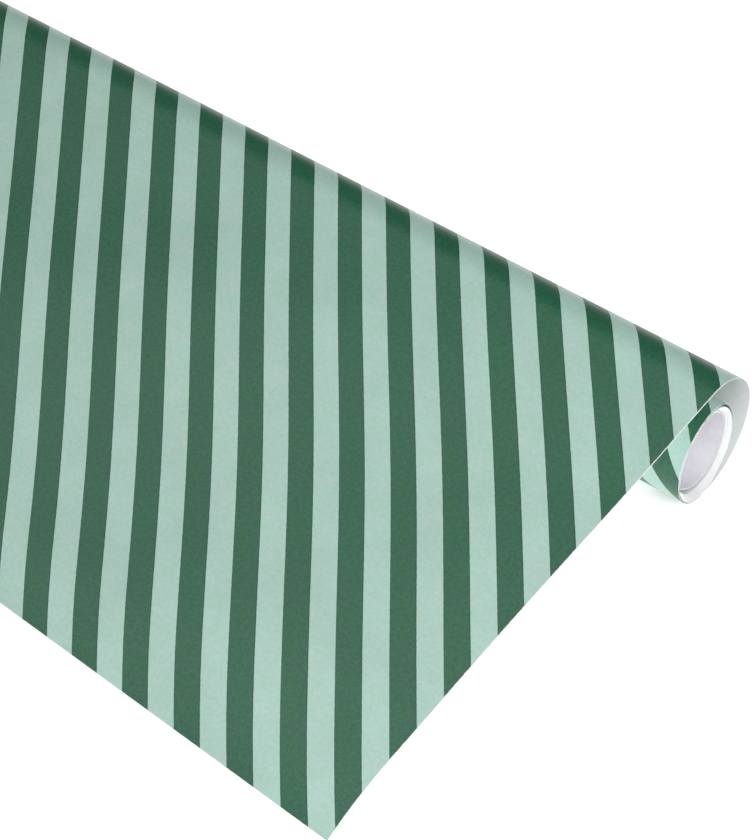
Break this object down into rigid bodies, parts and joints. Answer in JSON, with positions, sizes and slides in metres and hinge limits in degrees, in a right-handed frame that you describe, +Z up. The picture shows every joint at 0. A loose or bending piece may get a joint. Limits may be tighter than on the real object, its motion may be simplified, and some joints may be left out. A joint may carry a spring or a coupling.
{
  "type": "wrapping paper roll",
  "caption": "Roll of striped gift wrap lying on its side, the outer turn loose and the free end unrolled to the table, wound on a hollow cardboard core.",
  "frame": {"origin": "on the table, under the centre of the bounding box", "axes": "+X along the roll, +Y from the free end of the sheet towards the roll, +Z up"},
  "size_m": [0.7, 0.2638, 0.054],
  "materials": {
    "printed_paper": "satin, mint and dark green diagonal stripes outside, white inside",
    "wound_paper": "matt cut edges, white",
    "core_board": "matt",
    "core_liner": "matt, white lined"
  },
  "bodies": {
    "unrolled_paper": {"sheet": "printed_paper", "loose_turn": "printed_paper"},
    "wound_roll": {"second_turn": "printed_paper", "wound_turns": "wound_paper"},
    "core": {"core_outer_ply": "core_board", "core_liner_ply": "core_liner"}
  },
  "joints": [
    {"name": "roll_spin", "type": "hinge", "parent": "unrolled_paper", "child": "wound_roll", "pos_m": [0, 0.10265, 0.022], "axis": [1, 0, 0], "continuous": true},
    {"name": "core_slide", "type": "slide", "parent": "wound_roll", "child": "core", "axis": [1, 0, 0], "range_m": [0, 0.7]}
  ]
}
